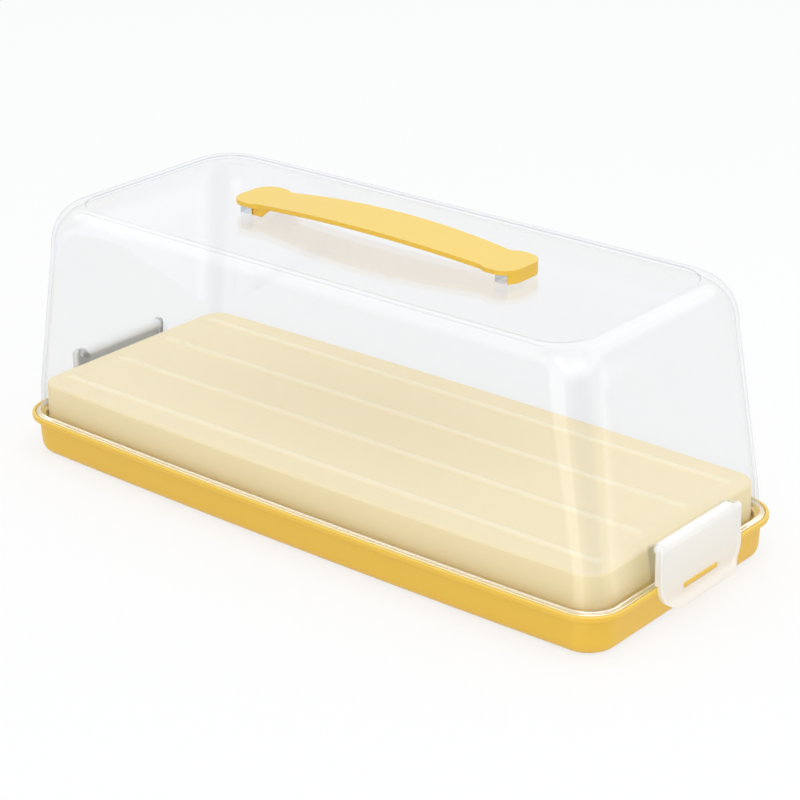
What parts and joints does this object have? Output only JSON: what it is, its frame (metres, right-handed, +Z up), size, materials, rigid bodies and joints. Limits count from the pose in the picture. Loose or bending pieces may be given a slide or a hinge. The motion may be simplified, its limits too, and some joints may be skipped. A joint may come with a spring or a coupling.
{
  "type": "cake carrier",
  "caption": "Loaf cake carrier: shallow rolled-rim tray with a raised ribbed platform, tall clear lid with a strap handle on its flat top, and a hinged clip at each end.",
  "frame": {"origin": "on the surface the tray stands on, at the middle of the carrier's length and width", "axes": "+X along the long side, towards the clip that the picture shows; +Y across the width; +Z up"},
  "size_m": [0.3722, 0.15, 0.1416],
  "materials": {
    "yellow_plastic": "satin yellow polypropylene",
    "pale_plastic": "satin cream polypropylene",
    "clear_plastic": "clear glossy plastic",
    "frosted_plastic": "frosted natural polypropylene"
  },
  "bodies": {
    "tray": {"tray": "yellow_plastic", "serving_platform": "pale_plastic"},
    "lid": {"lid": "clear_plastic", "handle": "yellow_plastic"},
    "clip_left": {"clip_left": "frosted_plastic"},
    "clip_right": {"clip_right": "frosted_plastic"}
  },
  "joints": [
    {"name": "lid_lift", "type": "slide", "parent": "tray", "child": "lid", "axis": [0, 0, 1], "range_m": [0, 0.15]},
    {"name": "clip_left_hinge", "type": "hinge", "parent": "lid", "child": "clip_left", "pos_m": [-0.1776, 0, 0.0386], "axis": [0, 1, 0], "range_deg": [0, 110]},
    {"name": "clip_right_hinge", "type": "hinge", "parent": "lid", "child": "clip_right", "pos_m": [0.1776, 0, 0.0386], "axis": [0, -1, 0], "range_deg": [0, 110]}
  ]
}
